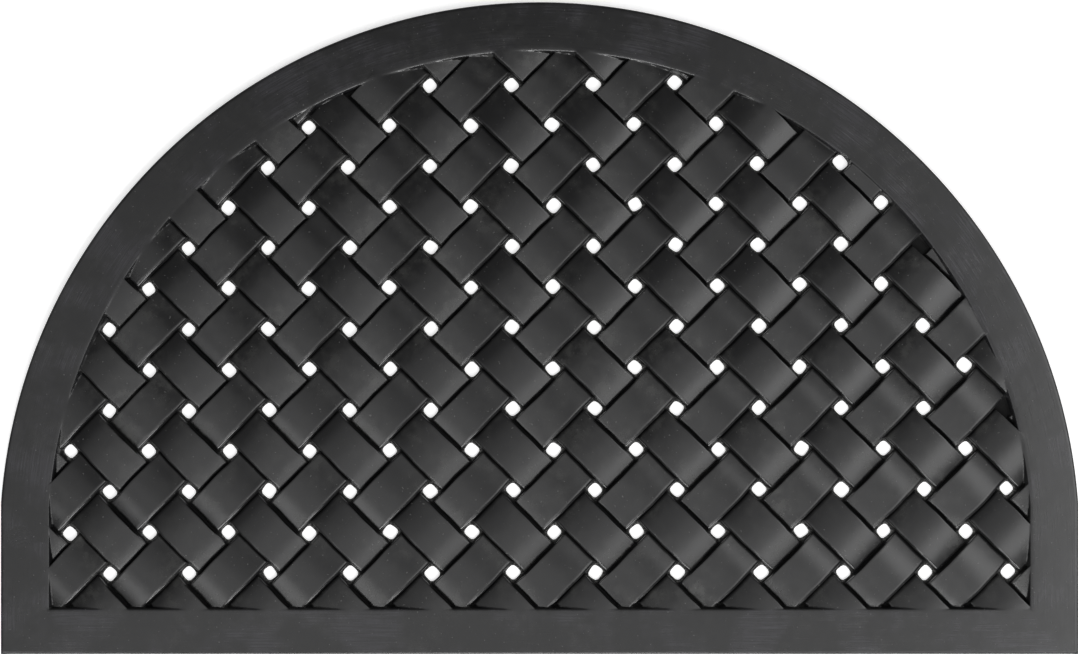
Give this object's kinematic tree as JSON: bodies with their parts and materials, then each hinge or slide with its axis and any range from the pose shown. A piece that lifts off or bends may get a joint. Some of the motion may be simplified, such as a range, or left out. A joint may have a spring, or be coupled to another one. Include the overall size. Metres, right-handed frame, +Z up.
{
  "type": "half-round rubber doormat",
  "caption": "Half-round moulded rubber doormat with a flat border, a raised basket-weave field and small drain holes through its web, flat underneath.",
  "frame": {"origin": "middle of the mat's bounding box in plan, on the floor it lies on", "axes": "+X along the straight edge, +Y from the straight edge to the top of the arc, +Z up out of the floor"},
  "size_m": [0.75, 0.454, 0.009],
  "materials": {
    "rubber": "satin"
  },
  "bodies": {
    "root": {"mat": "rubber"}
  },
  "joints": []
}
